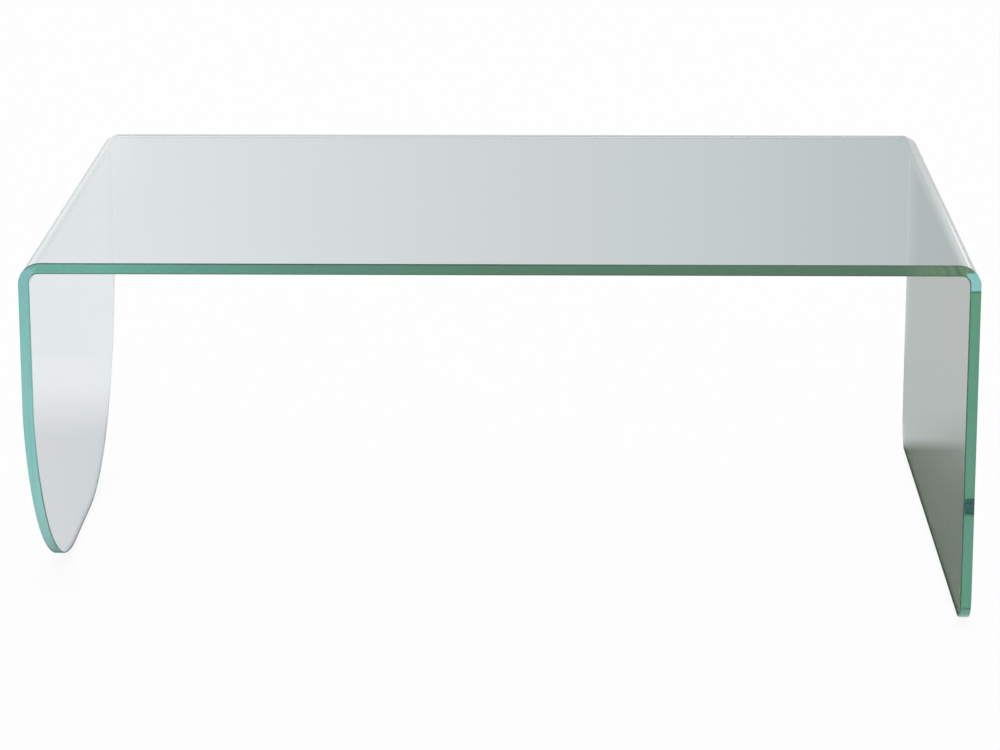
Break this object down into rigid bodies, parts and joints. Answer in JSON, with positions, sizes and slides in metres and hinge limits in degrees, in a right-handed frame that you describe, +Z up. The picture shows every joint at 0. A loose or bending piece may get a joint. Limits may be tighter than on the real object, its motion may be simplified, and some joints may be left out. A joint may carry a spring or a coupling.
{
  "type": "waterfall coffee table",
  "caption": "Low table bent from a single sheet of clear green-edged glass, with one straight leg, one rounded leg and clear floor pads under both.",
  "frame": {"origin": "on the floor, under the middle of the table", "axes": "+X along the table towards the straight leg, +Y towards the back of the table, +Z up; the front faces -Y"},
  "size_m": [1.02, 0.72, 0.4],
  "materials": {
    "float_glass": "clear float glass, green through its edge, rim ground flat and polished",
    "clear_polyurethane": "clear soft moulded polyurethane, slightly satin",
    "clear_adhesive": "clear acrylic self-stick film"
  },
  "bodies": {
    "root": {"bent_glass_sheet": "float_glass", "rounded_leg_front_pad": "clear_polyurethane", "rounded_leg_front_pad_adhesive": "clear_adhesive", "rounded_leg_back_pad": "clear_polyurethane", "rounded_leg_back_pad_adhesive": "clear_adhesive", "straight_leg_front_pad": "clear_polyurethane", "straight_leg_front_pad_adhesive": "clear_adhesive", "straight_leg_back_pad": "clear_polyurethane", "straight_leg_back_pad_adhesive": "clear_adhesive"}
  },
  "joints": []
}
